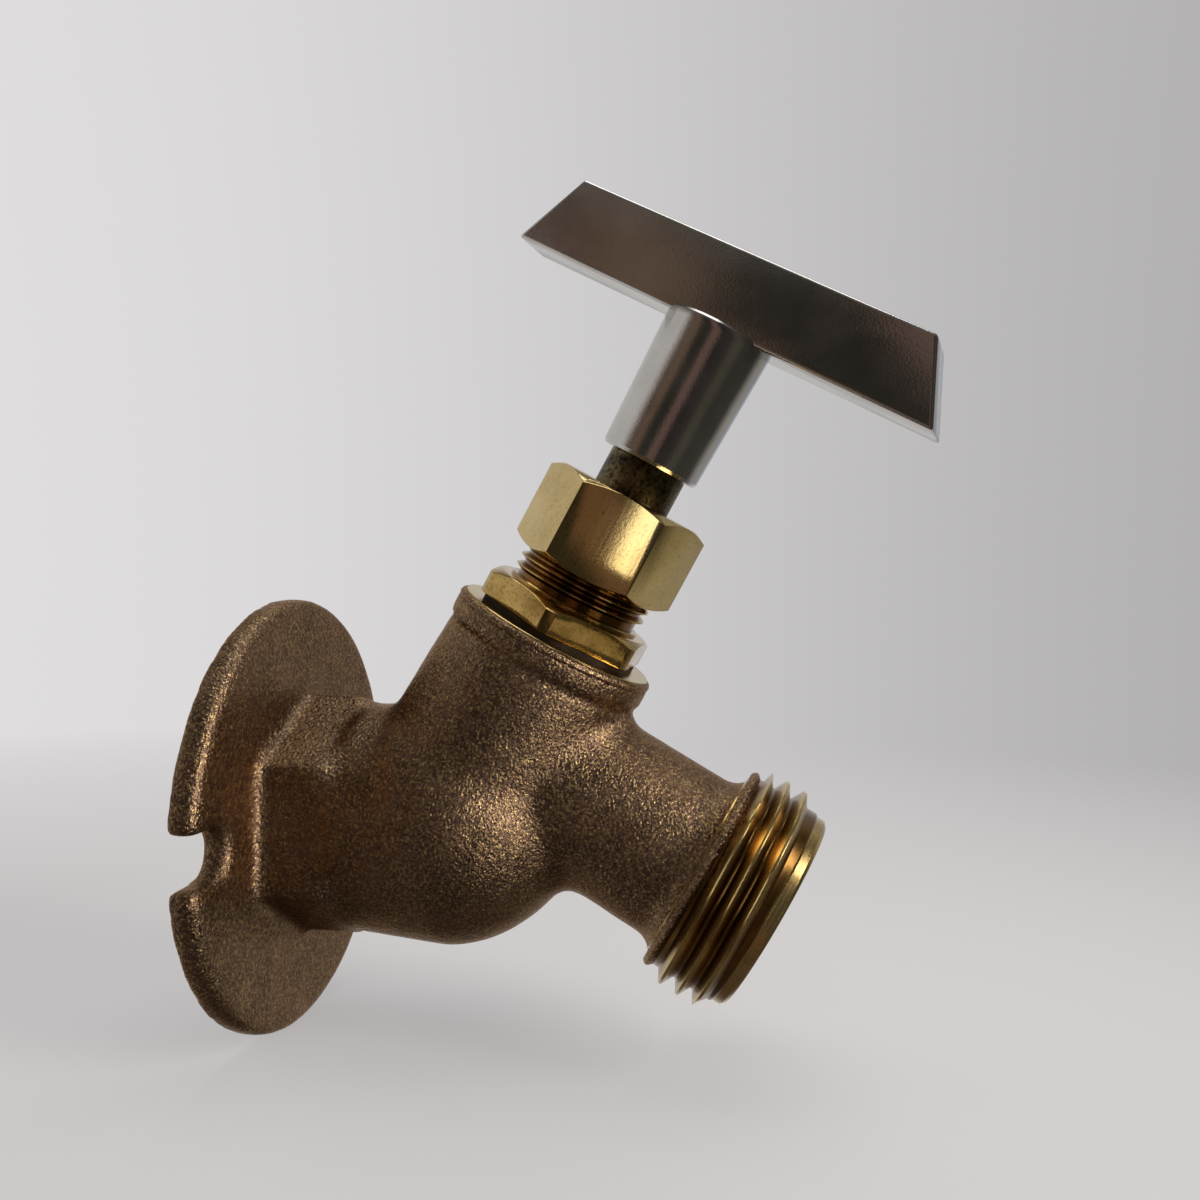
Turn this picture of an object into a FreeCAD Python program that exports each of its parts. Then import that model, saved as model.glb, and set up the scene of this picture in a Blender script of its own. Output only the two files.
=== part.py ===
import FreeCAD, Part
import math
import os
import Sketcher

# A wall-mounted garden tap: a cast valve body with a female pipe inlet, a slotted wall flange
# and a hose outlet, a screwed bonnet with packing, a rising stem with a swivelling washer holder,
# and a lift-off tee key.
# The inlet axis is X, out of the wall, with the origin on the flange's back face. Z is up.
# Lengths are millimetres. Heights called "at" are measured along the stem axis from where it
# crosses the inlet axis, and reaches are measured along the outlet axis from the stem axis.

doc = FreeCAD.newDocument("sillcock")
sheet = doc.addObject("Spreadsheet::Sheet", "sizes")


class Length:
    # A size that holds its number and its spelling as an expression of the sheet.

    def __init__(self, number, words):
        self.number = number
        self.words = words

    def __add__(self, other):
        return joined(self, "+", other)

    def __radd__(self, other):
        return joined(other, "+", self)

    def __sub__(self, other):
        return joined(self, "-", other)

    def __rsub__(self, other):
        return joined(other, "-", self)

    def __mul__(self, other):
        return joined(self, "*", other)

    def __rmul__(self, other):
        return joined(other, "*", self)

    def __truediv__(self, other):
        return joined(self, "/", other)


def as_length(item):
    if isinstance(item, Length):
        return item
    return Length(float(item), repr(float(item)))


def joined(left, sign, right):
    left = as_length(left)
    right = as_length(right)
    results = {
        "+": left.number + right.number,
        "-": left.number - right.number,
        "*": left.number * right.number,
        "/": left.number / right.number if right.number else 0.0,
    }
    return Length(results[sign], "(" + left.words + " " + sign + " " + right.words + ")")


def sine(angle):
    return Length(math.sin(math.radians(angle.number)), "sin(" + angle.words + ")")


def cosine(angle):
    return Length(math.cos(math.radians(angle.number)), "cos(" + angle.words + ")")


rows_used = 0


def size(alias, value, meaning):
    global rows_used
    rows_used += 1
    sheet.set("A" + str(rows_used), meaning)
    sheet.set("B" + str(rows_used), str(value))
    sheet.setAlias("B" + str(rows_used), alias)
    return Length(float(value), "sizes." + alias)


# Layout
stem_lean = size("stem_lean", 28, "stem axis, from straight up towards the outlet, degrees")
outlet_fall = size("outlet_fall", 29.2, "outlet axis below level, degrees")
stem_foot = size("stem_foot", 22.94, "flange back face to the stem axis, along the inlet axis")
outlet_at = size("outlet_at", 10.9, "where the outlet axis leaves the stem axis")

# Flange, hexagon and inlet
flange_radius = size("flange_radius", 26.1, "wall flange radius")
flange_thick = size("flange_thick", 3.4, "wall flange thickness")
flange_round = size("flange_round", 1.3, "rounding of the flange's front edge")
slot_width = size("slot_width", 5.5, "width of each screw slot in the flange")
slot_depth = size("slot_depth", 7.6, "depth of each screw slot from the rim")
slot_turn = size("slot_turn", 2.5, "turn of the two slots about the inlet axis, degrees")
boss_flats = size("boss_flats", 25.4, "inlet hexagon across its flats")
boss_end = size("boss_end", 12, "flange back face to the end of the inlet hexagon")
boss_bevel = size("boss_bevel", 1.0, "bevel on the end of the inlet hexagon")
boss_root = size("boss_root", 1.0, "cast fillet where the hexagon meets the flange")
bevel_start = size("bevel_start", 0.1, "how far inside a hexagon's flats its end bevel starts")
inlet_radius = size("inlet_radius", 10.4, "pipe thread wall radius")
inlet_depth = size("inlet_depth", 12.0, "pipe thread depth")
inlet_lead = size("inlet_lead", 0.4, "bevel at the mouth of the pipe thread")
drill_cone = size("drill_cone", 2.0, "length of the cone that ends the pipe thread")
passage_radius = size("passage_radius", 5.6, "water passage behind the pipe thread")
passage_drop = size("passage_drop", 2.0, "how far the passage dips under the seat bridge")

# Globe and neck of the casting
barrel_radius = size("barrel_radius", 13.5, "round of the casting next to the hexagon")
globe_radius = size("globe_radius", 14.9, "globe radius")
belly_step = size("belly_step", 0.5, "how far the casting's round belly lies inside the globe")
globe_at = size("globe_at", 1.2, "globe centre")
throat_angle = size("throat_angle", 25, "where the globe starts to run into the neck, degrees")
neck_step = size("neck_step", 2.15, "how far the neck's foot lies inside the globe")
neck_taper = size("neck_taper", 0.7, "how much thinner the neck is under the collar than at its foot")
collar_stand = size("collar_stand", 0.4, "how far the collar stands out from the neck")
collar_height = size("collar_height", 3, "collar height")
collar_step = size("collar_step", 0.5, "height of the step under the collar")
rim_at = size("rim_at", 25.62, "machined top rim of the body")
rim_bevel = size("rim_bevel", 0.4, "bevel round the top rim")

# Seat and chamber
seat_at = size("seat_at", 4.2, "seat face")
seat_bore = size("seat_bore", 5.0, "seat opening radius")
seat_outer = size("seat_outer", 6.9, "outer radius of the seat lip")
seat_lip = size("seat_lip", 1.2, "height of the seat lip above the chamber floor")
well_depth = size("well_depth", 12.4, "depth of the well under the seat face")
chamber_radius = size("chamber_radius", 9.4, "chamber radius")
land_cone = size("land_cone", 0.9, "cone from the chamber to the bonnet thread")

# Outlet
outlet_neck_radius = size("outlet_neck_radius", 10, "outlet neck radius")
outlet_root = size("outlet_root", 2.2, "cast fillet where the outlet leaves the globe")
outlet_flare = size("outlet_flare", 2.5, "radius of the flare behind the hose thread")
outlet_shoulder = size("outlet_shoulder", 27.6, "reach of the hose thread's shoulder")
outlet_reach = size("outlet_reach", 37.3, "reach of the outlet's end face")
outlet_port = size("outlet_port", 6.2, "outlet passage radius at the chamber")
outlet_bore = size("outlet_bore", 7.8, "outlet passage radius along the neck")
outlet_mouth = size("outlet_mouth", 9.4, "outlet mouth radius")
mouth_depth = size("mouth_depth", 8.0, "depth of the outlet mouth")
port_depth = size("port_depth", 17.0, "reach of the narrow end of the outlet passage")
hose_crest = size("hose_crest", 13.49, "hose thread crest radius")
hose_root = size("hose_root", 12.06, "hose thread root radius")
hose_pitch = size("hose_pitch", 2.2087, "hose thread pitch")
hose_flat = size("hose_flat", 0.3, "width of the hose thread's crest")
hose_start = size("hose_start", 1.3, "shoulder to the middle of the hose thread's first crest")
hose_length = size("hose_length", 6, "length of the hose thread between its end crests' middles")
pilot_radius = size("pilot_radius", 11.8, "radius of the plain lead past the hose thread")
pilot_length = size("pilot_length", 1.3, "length of that lead with its bevel")
pilot_bevel = size("pilot_bevel", 0.4, "bevel on the outlet's end")

# Bonnet and gasket
gasket_thick = size("gasket_thick", 0.6, "bonnet gasket thickness")
gasket_margin = size("gasket_margin", 0.4, "gasket radius beyond the bonnet's bearing ring")
bonnet_thread_radius = size("bonnet_thread_radius", 8.45, "bonnet radius where it screws into the body")
screw_gap = size("screw_gap", 0.06, "radial play in the hidden screw joints")
bonnet_foot_at = size("bonnet_foot_at", 18.4, "lower end of the bonnet")
bonnet_lead = size("bonnet_lead", 0.5, "bevel on the bonnet's lower end")
bearing_radius = size("bearing_radius", 9.3, "bearing ring under the bonnet hexagon")
bearing_height = size("bearing_height", 0.4, "height of the bearing ring")
bonnet_flats = size("bonnet_flats", 19.05, "bonnet hexagon across its flats")
bonnet_hex_height = size("bonnet_hex_height", 2.9, "height of the bonnet hexagon")
bonnet_turn = size("bonnet_turn", 1, "turn of the bonnet hexagon, degrees")
bonnet_corner_radius = size("bonnet_corner_radius", 10.65, "round that the hexagon's corners are turned to")
step_radius = size("step_radius", 8.2, "round step above the bonnet hexagon")
step_height = size("step_height", 0.4, "height of the round step")
relief_height = size("relief_height", 0.58, "height of the first thread turn above the round step")
gland_crest = size("gland_crest", 8.2, "crest radius of the packing nut's thread")
gland_root = size("gland_root", 7.5, "root radius of the packing nut's thread")
gland_pitch = size("gland_pitch", 1.2, "pitch of the packing nut's thread")
gland_flat = size("gland_flat", 0.16, "crest width of the packing nut's thread")
bonnet_top_at = size("bonnet_top_at", 36.6, "top of the bonnet")
bonnet_top_bevel = size("bonnet_top_bevel", 0.4, "bevel on the top of the bonnet")
pocket_radius = size("pocket_radius", 7.2, "pocket in the bonnet that takes the washer holder")
pocket_depth = size("pocket_depth", 1.6, "depth of that pocket")
screw_room = size("screw_room", 0.25, "room above the stem screw when the tap is fully open")

# Packing
nut_at = size("nut_at", 33.3, "lower end of the packing nut")
nut_height = size("nut_height", 10.28, "packing nut height")
nut_flats = size("nut_flats", 17.46, "packing nut across its flats")
nut_turn = size("nut_turn", 8, "turn of the packing nut, degrees")
nut_top_wall = size("nut_top_wall", 1.6, "thickness of the packing nut's top")
nut_play = size("nut_play", 0.15, "radial play between the packing nut and the stem")
washer_thick = size("washer_thick", 0.7, "packing washer thickness")
packing_thick = size("packing_thick", 1.5, "thickness of each packing ring")
packing_play = size("packing_play", 0.15, "radial play between the packing pieces and the nut's bore")

# Stem and washer
stem_radius = size("stem_radius", 4.67, "stem radius through the packing")
running_gap = size("running_gap", 0.07, "radial running clearance round the stem")
stem_screw_crest = size("stem_screw_crest", 5.6, "crest radius of the stem screw")
stem_screw_root = size("stem_screw_root", 4.4, "root radius of the stem screw")
stem_screw_pitch = size("stem_screw_pitch", 2.54, "pitch of the stem screw, one turn's rise")
stem_screw_flat = size("stem_screw_flat", 0.8, "crest width of the stem screw")
stem_screw_at = size("stem_screw_at", 19.6, "lower end of the stem screw")
stem_screw_length = size("stem_screw_length", 7.8, "length of the stem screw")
travel = size("travel", 6.35, "lift of the stem from shut to fully open")
disc_radius = size("disc_radius", 6.2, "seat washer radius")
disc_thick = size("disc_thick", 3.0, "seat washer thickness")
holder_radius = size("holder_radius", 6.8, "washer holder radius")
holder_lip = size("holder_lip", 1.6, "height of the holder's lip round the washer")
lip_gap = size("lip_gap", 0.1, "gap between the lip and the washer")
holder_floor = size("holder_floor", 2.2, "thickness of the holder's floor")
button_radius = size("button_radius", 3.2, "radius of the button on the stem's foot")
button_thick = size("button_thick", 1.9, "thickness of the button")
button_gap = size("button_gap", 0.1, "play round the button and its neck")
button_neck = size("button_neck", 2.0, "radius of the neck above the button")
holder_roof = size("holder_roof", 1.5, "thickness of the holder over the button")
disc_screw_radius = size("disc_screw_radius", 1.5, "washer screw radius")
disc_head_radius = size("disc_head_radius", 3.4, "washer screw head radius")
disc_head_thick = size("disc_head_thick", 1.5, "washer screw head thickness")
disc_screw_grip = size("disc_screw_grip", 1.9, "depth of the washer screw in the holder")
driver_slot = size("driver_slot", 0.8, "width and depth of the washer screw's slot")
shoulder_at = size("shoulder_at", 47.78, "shoulder at the foot of the stem's square")
square_flats = size("square_flats", 6.35, "stem square across its flats")
square_height = size("square_height", 11.6, "height of the stem square")
square_bevel = size("square_bevel", 0.6, "bevel on the top of the square")

# Tee key
key_seat_gap = size("key_seat_gap", 0.05, "gap between the key and the stem's shoulder")
key_play = size("key_play", 0.1, "play on each side of the square in the key")
socket_spare = size("socket_spare", 0.8, "depth of the socket past the square")
hub_foot_radius = size("hub_foot_radius", 6, "hub radius at its foot")
hub_top_radius = size("hub_top_radius", 6.5, "hub radius under the bar")
hub_bevel = size("hub_bevel", 0.5, "bevel round the foot of the hub")
hub_height = size("hub_height", 16.74, "hub height below the bar")
hub_crown = size("hub_crown", 0.7, "height of the rounding that runs the hub into the bar")
bar_height = size("bar_height", 9.23, "bar height along the stem axis")
bar_long_half = size("bar_long_half", 27.46, "half the bar's length at its lower edge")
bar_short_half = size("bar_short_half", 22.97, "half the bar's length at its upper edge")
bar_thick = size("bar_thick", 7, "bar thickness")
bar_round = size("bar_round", 0.35, "rounding of the bar's edges")
key_turn = size("key_turn", 11.3, "turn of the key about the stem axis, degrees")

doc.recompute()

quarter_turn = 90
hexagon_half_angle = 30
corner_factor = 1 / math.cos(math.radians(hexagon_half_angle))
full_slope = math.tan(math.radians(30))
slight_slope = math.tan(math.radians(12))
ridge_sink = 0.12
overcut = 1
close_enough = 0.001


def bind(item, path, value):
    item.setExpression(path, as_length(value).words)


def new_body(name):
    body = doc.addObject("PartDesign::Body", name)
    body.Label = name
    return body


def stem_body(name):
    # A piece on the stem axis is drawn upright and leans with its placement.
    body = new_body(name)
    lean = FreeCAD.Rotation(FreeCAD.Vector(0, 1, 0), stem_lean.number)
    body.Placement = FreeCAD.Placement(FreeCAD.Vector(stem_foot.number, 0, 0), lean)
    bind(body, "Placement.Base.x", stem_foot)
    bind(body, "Placement.Rotation.Angle", stem_lean)
    return body


def new_sketch(body, name, role, foot=(0, 0, 0), spin_axis=(0, 0, -1), spin=0):
    # A sketch on one of the body's own planes, moved to foot and turned by spin about spin_axis.
    sketch = body.newObject("Sketcher::SketchObject", name)
    plane = [item for item in body.Origin.OriginFeatures if item.Role == role][0]
    sketch.AttachmentSupport = [(plane, "")]
    sketch.MapMode = "FlatFace"
    places = [as_length(value) for value in foot]
    spin = as_length(spin)
    base = FreeCAD.Vector(places[0].number, places[1].number, places[2].number)
    turn = FreeCAD.Rotation(FreeCAD.Vector(*spin_axis), spin.number)
    sketch.AttachmentOffset = FreeCAD.Placement(base, turn)
    for letter, place in zip("xyz", places):
        bind(sketch, "AttachmentOffset.Base." + letter, place)
    if spin.number:
        bind(sketch, "AttachmentOffset.Rotation.Angle", spin)
    return sketch


def pin_point(sketch, geometry, end, x, y):
    # Ties one end of a line or arc to the sheet.
    for kind, axis, value in (("DistanceX", -2, x), ("DistanceY", -1, y)):
        value = as_length(value)
        if value.number == 0:
            sketch.addConstraint(Sketcher.Constraint("PointOnObject", geometry, end, axis))
        else:
            index = sketch.addConstraint(Sketcher.Constraint(kind, -1, 1, geometry, end, value.number))
            bind(sketch, "Constraints[" + str(index) + "]", value)


def arc_between(start, end, radius, leftward):
    # The arc under a half circle from start to end, with its centre to the left or right of the way.
    chord = end.sub(start)
    rise = math.sqrt(radius * radius - chord.Length * chord.Length / 4)
    side = FreeCAD.Vector(-chord.y, chord.x, 0).normalize()
    middle = start.add(end).multiply(0.5)
    centre = middle.add(side.multiply(rise if leftward else -rise))
    first, last = (start, end) if leftward else (end, start)
    first_angle = math.atan2(first.y - centre.y, first.x - centre.x)
    last_angle = math.atan2(last.y - centre.y, last.x - centre.x)
    circle = Part.Circle(centre, FreeCAD.Vector(0, 0, 1), radius)
    return Part.ArcOfCircle(circle, first_angle, last_angle)


def draw(sketch, corners):
    # A closed outline. A corner is (x, y), or (x, y, radius, side) where an arc follows
    # that has its centre on that side.
    count = len(corners)
    firsts = []
    ends = []
    for index, corner in enumerate(corners):
        follower = corners[(index + 1) % count]
        start = FreeCAD.Vector(as_length(corner[0]).number, as_length(corner[1]).number, 0)
        end = FreeCAD.Vector(as_length(follower[0]).number, as_length(follower[1]).number, 0)
        leftward = len(corner) == 2 or corner[3] == "left"
        if len(corner) == 2:
            firsts.append(sketch.addGeometry(Part.LineSegment(start, end), False))
        else:
            arc = arc_between(start, end, as_length(corner[2]).number, leftward)
            firsts.append(sketch.addGeometry(arc, False))
        ends.append((1, 2) if leftward else (2, 1))
    for index, corner in enumerate(corners):
        follower = (index + 1) % count
        end = ends[index][1]
        start = ends[follower][0]
        join = Sketcher.Constraint("Coincident", firsts[index], end, firsts[follower], start)
        sketch.addConstraint(join)
    for index, corner in enumerate(corners):
        pin_point(sketch, firsts[index], ends[index][0], corner[0], corner[1])
        if len(corner) > 2:
            radius = as_length(corner[2])
            place = sketch.addConstraint(Sketcher.Constraint("Radius", firsts[index], radius.number))
            bind(sketch, "Constraints[" + str(place) + "]", radius)


def polygon(flats, sides, first_corner):
    # Corners of a regular polygon of the given width across its flats.
    corners = []
    for index in range(sides):
        angle = math.radians(first_corner + 360 * index / sides)
        reach = flats / 2 / math.cos(math.pi / sides)
        corners.append((reach * round(math.cos(angle), 12), reach * round(math.sin(angle), 12)))
    return corners


def feature(body, kind, name, sketch):
    made = body.newObject("PartDesign::" + kind, name)
    made.Profile = (sketch, [""])
    sketch.Visibility = False
    return made


def fillet(body, name, chosen, radius):
    # Rounds the edges of the body so far that the chosen test picks out.
    base = body.Tip
    names = ["Edge" + str(index + 1) for index, edge in enumerate(base.Shape.Edges) if chosen(edge)]
    made = body.newObject("PartDesign::Fillet", name)
    made.Base = (base, names)
    bind(made, "Radius", radius)
    doc.recompute()
    return made


def turned(body, kind, name, corners, foot=(0, 0, 0), lean=0):
    # A turned solid or a turned cut, drawn as radius and height beside its axis.
    sketch = new_sketch(body, name + "_profile", "XZ_Plane", foot, (0, 0, -1), lean)
    draw(sketch, corners)
    made = feature(body, kind, name, sketch)
    made.ReferenceAxis = (sketch, ["V_Axis"])
    made.Angle = 360
    doc.recompute()
    return made


def pad(body, name, sketch, length, midplane=False):
    made = feature(body, "Pad", name, sketch)
    made.Midplane = midplane
    bind(made, "Length", length)
    doc.recompute()
    return made


def pocket(body, name, sketch, length, reverse=False, midplane=False):
    before = body.Shape.Volume
    made = feature(body, "Pocket", name, sketch)
    made.Reversed = reverse
    made.Midplane = midplane
    bind(made, "Length", length)
    doc.recompute()
    if not made.Shape.Volume < before:
        raise RuntimeError(name + " cuts nothing")
    return made


def helix(body, name, crest, root, flat, pitch, start, height, foot=(0, 0, 0), lean=0):
    # A screw thread's ridge: a tapered rib, sunk a little into its core, wound up the axis.
    depth = crest - root + ridge_sink
    spread = depth * full_slope
    sketch = new_sketch(body, name + "_profile", "XZ_Plane", foot, (0, 0, -1), lean)
    low = start - flat / 2
    high = start + flat / 2
    draw(sketch, [
        (root - ridge_sink, low - spread),
        (crest, low),
        (crest, high),
        (root - ridge_sink, high + spread),
    ])
    made = feature(body, "AdditiveHelix", name, sketch)
    made.ReferenceAxis = (sketch, ["V_Axis"])
    made.Mode = 0
    bind(made, "Pitch", pitch)
    bind(made, "Height", height)
    doc.recompute()
    return made


def end_bevel(body, name, flats, end, away, slope):
    # Turns the corners of a hexagon down to a cone at one end. Away is 1 at its top and -1 at its foot.
    outside = flats / 2 * corner_factor + overcut
    start = flats / 2 - bevel_start
    turned(body, "Groove", name, [
        (start, end),
        (outside, end - (outside - start) * slope * away),
        (outside, end + overcut * away),
        (start, end + overcut * away),
    ])


def lies_at_root(edge):
    # True for the straight edges where the inlet hexagon meets the flange's front face.
    on_face = all(abs(vertex.X - flange_thick.number) < close_enough for vertex in edge.Vertexes)
    return on_face and isinstance(edge.Curve, Part.Line)


def is_crease(edge):
    # True for the lines where the outlet runs into the globe and the neck.
    return edge.BoundBox.Center.x > stem_foot.number and isinstance(edge.Curve, Part.BSplineCurve)


def make_valve_body():
    body = new_body("valve_body")
    inlet = quarter_turn
    outlet = outlet_fall + quarter_turn
    belly_radius = globe_radius - belly_step
    neck_low_radius = globe_radius - neck_step
    neck_top_radius = neck_low_radius - neck_taper
    collar_radius = neck_top_radius + collar_stand
    stem_place = (stem_foot, 0, 0)
    outlet_place = (stem_foot + outlet_at * sine(stem_lean), outlet_at * cosine(stem_lean), 0)

    turned(body, "Revolution", "flange", [
        (0, 0),
        (flange_radius, 0),
        (flange_radius, flange_thick - flange_round, flange_round, "left"),
        (flange_radius - flange_round, flange_thick),
        (0, flange_thick),
    ], (0, 0, 0), inlet)

    slots = new_sketch(body, "slots_outline", "YZ_Plane", (0, 0, 0), (0, 0, 1), slot_turn)
    slot_end = flange_radius - slot_depth + slot_width / 2
    past_rim = flange_radius + overcut
    half_slot = slot_width / 2
    tip = flange_radius - slot_depth
    for side in (-1, 1):
        turning = "right" if side > 0 else "left"
        draw(slots, [
            (past_rim * side, -1 * half_slot),
            (slot_end * side, -1 * half_slot, half_slot, turning),
            (tip * side, 0, half_slot, turning),
            (slot_end * side, half_slot),
            (past_rim * side, half_slot),
        ])
    pocket(body, "slots", slots, flange_thick * 2, midplane=True)

    boss = new_sketch(body, "boss_outline", "YZ_Plane", (0, 0, flange_thick / 2))
    draw(boss, polygon(boss_flats, 6, quarter_turn))
    pad(body, "boss", boss, boss_end - flange_thick / 2)
    fillet(body, "boss_root_fillet", lies_at_root, boss_root)
    corner_radius = boss_flats / 2 * corner_factor
    turned(body, "Groove", "boss_bevel_cut", [
        (corner_radius - boss_bevel, boss_end),
        (corner_radius + overcut, boss_end - boss_bevel - overcut),
        (corner_radius + overcut, boss_end + overcut),
        (corner_radius - boss_bevel, boss_end + overcut),
    ], (0, 0, 0), inlet)

    turned(body, "Revolution", "barrel", [
        (0, flange_thick),
        (barrel_radius, boss_end),
        (belly_radius, stem_foot, belly_radius, "left"),
        (0, stem_foot + belly_radius),
    ], (0, 0, 0), inlet)
    throat_at = globe_radius * cosine(throat_angle)
    throat = (throat_at - neck_low_radius) / (1 - cosine(throat_angle))
    turned(body, "Revolution", "globe", [
        (0, globe_at - globe_radius, globe_radius, "left"),
        (globe_radius, globe_at, globe_radius, "left"),
        (throat_at, globe_at + globe_radius * sine(throat_angle), throat, "right"),
        (neck_low_radius, globe_at + (globe_radius + throat) * sine(throat_angle)),
        (neck_top_radius, rim_at - collar_height - collar_step),
        (collar_radius, rim_at - collar_height),
        (collar_radius, rim_at - rim_bevel),
        (collar_radius - rim_bevel, rim_at),
        (0, rim_at),
    ], stem_place, stem_lean)
    turned(body, "Revolution", "outlet", [
        (0, 0),
        (outlet_neck_radius, 0),
        (outlet_neck_radius, outlet_shoulder - outlet_flare, outlet_flare, "right"),
        (outlet_neck_radius + outlet_flare, outlet_shoulder),
        (outlet_neck_radius + outlet_flare, outlet_shoulder + rim_bevel),
        (hose_root, outlet_shoulder + rim_bevel * 2),
        (hose_root, outlet_reach - pilot_length - (hose_root - pilot_radius)),
        (pilot_radius, outlet_reach - pilot_length),
        (pilot_radius, outlet_reach - pilot_bevel),
        (pilot_radius - pilot_bevel, outlet_reach),
        (0, outlet_reach),
    ], outlet_place, outlet)
    fillet(body, "outlet_root_fillet", is_crease, outlet_root)
    helix(body, "hose_thread", hose_crest, hose_root, hose_flat, hose_pitch,
          outlet_shoulder + hose_start, hose_length, outlet_place, outlet)

    turned(body, "Groove", "pipe_thread_bore", [
        (0, -1 * overcut),
        (inlet_radius + inlet_lead + overcut, -1 * overcut),
        (inlet_radius, inlet_lead),
        (inlet_radius, inlet_depth),
        (passage_radius, inlet_depth + drill_cone),
        (0, inlet_depth + drill_cone),
    ], (0, 0, 0), inlet)
    turned(body, "Groove", "passage", [
        (0, inlet_depth),
        (passage_radius, inlet_depth),
        (passage_radius, stem_foot),
        (0, stem_foot),
    ], (0, -1 * passage_drop, 0), inlet)
    turned(body, "Groove", "well", [
        (0, seat_at - well_depth),
        (seat_bore - drill_cone, seat_at - well_depth),
        (seat_bore, seat_at - well_depth + drill_cone),
        (seat_bore, seat_at + overcut),
        (0, seat_at + overcut),
    ], stem_place, stem_lean)
    land_at = bonnet_foot_at - 2 * running_gap
    bore = bonnet_thread_radius + screw_gap
    turned(body, "Groove", "chamber", [
        (0, seat_at),
        (seat_outer, seat_at),
        (seat_outer, seat_at - seat_lip),
        (chamber_radius, seat_at - seat_lip),
        (chamber_radius, land_at - land_cone),
        (bore, land_at),
        (bore, rim_at - rim_bevel),
        (bore + rim_bevel, rim_at),
        (bore + rim_bevel, rim_at + overcut),
        (0, rim_at + overcut),
    ], stem_place, stem_lean)
    turned(body, "Groove", "outlet_passage", [
        (0, 0),
        (outlet_port, 0),
        (outlet_port, port_depth),
        (outlet_bore, port_depth + drill_cone),
        (outlet_bore, outlet_reach - mouth_depth - drill_cone),
        (outlet_mouth, outlet_reach - mouth_depth),
        (outlet_mouth, outlet_reach + overcut),
        (0, outlet_reach + overcut),
    ], outlet_place, outlet)
    return body


def make_bonnet():
    body = stem_body("bonnet")
    face_at = rim_at + gasket_thick
    hex_at = face_at + bearing_height
    step_at = hex_at + bonnet_hex_height
    screw_bore_end = stem_screw_at + stem_screw_length + travel + screw_room
    turned(body, "Revolution", "turning", [
        (0, bonnet_foot_at),
        (bonnet_thread_radius - bonnet_lead, bonnet_foot_at),
        (bonnet_thread_radius, bonnet_foot_at + bonnet_lead),
        (bonnet_thread_radius, face_at),
        (bearing_radius, face_at),
        (bearing_radius, hex_at + bearing_height),
        (step_radius, hex_at + bearing_height),
        (step_radius, step_at + step_height),
        (gland_root, step_at + step_height),
        (gland_root, bonnet_top_at - bonnet_top_bevel),
        (gland_root - bonnet_top_bevel, bonnet_top_at),
        (0, bonnet_top_at),
    ])
    outline = new_sketch(body, "hexagon_outline", "XY_Plane", (0, 0, hex_at), (0, 0, 1), bonnet_turn)
    draw(outline, polygon(bonnet_flats, 6, quarter_turn))
    pad(body, "hexagon", outline, bonnet_hex_height)
    end_bevel(body, "hexagon_bevel", bonnet_flats, step_at, 1, full_slope)
    turned(body, "Groove", "hexagon_corners", [
        (bonnet_corner_radius, hex_at - overcut),
        (bonnet_corner_radius + overcut, hex_at - overcut),
        (bonnet_corner_radius + overcut, step_at + overcut),
        (bonnet_corner_radius, step_at + overcut),
    ])
    thread_at = step_at + step_height + relief_height
    helix(body, "gland_thread", gland_crest, gland_root, gland_flat, gland_pitch,
          thread_at, bonnet_top_at - thread_at - gland_pitch)
    turned(body, "Groove", "stem_bore", [
        (0, bonnet_foot_at - overcut),
        (pocket_radius, bonnet_foot_at - overcut),
        (pocket_radius, bonnet_foot_at + pocket_depth),
        (stem_screw_crest + screw_gap, bonnet_foot_at + pocket_depth),
        (stem_screw_crest + screw_gap, screw_bore_end),
        (stem_radius + running_gap, screw_bore_end + land_cone),
        (stem_radius + running_gap, bonnet_top_at + overcut),
        (0, bonnet_top_at + overcut),
    ])
    return body


def make_ring(name, inner, outer, low, thick):
    body = stem_body(name)
    turned(body, "Revolution", "ring", [
        (inner, low),
        (outer, low),
        (outer, low + thick),
        (inner, low + thick),
    ])
    return body


def make_packing_nut():
    body = stem_body("packing_nut")
    outline = new_sketch(body, "hexagon_outline", "XY_Plane", (0, 0, nut_at), (0, 0, 1), nut_turn)
    draw(outline, polygon(nut_flats, 6, 0))
    pad(body, "hexagon", outline, nut_height)
    end_bevel(body, "top_bevel", nut_flats, nut_at + nut_height, 1, full_slope)
    end_bevel(body, "foot_bevel", nut_flats, nut_at, -1, slight_slope)
    hole = stem_radius + nut_play
    bore = gland_crest + screw_gap
    turned(body, "Groove", "bore", [
        (0, nut_at - overcut),
        (bore, nut_at - overcut),
        (bore, nut_at + nut_height - nut_top_wall),
        (hole, nut_at + nut_height - nut_top_wall),
        (hole, nut_at + nut_height + overcut),
        (0, nut_at + nut_height + overcut),
    ])
    return body


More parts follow.
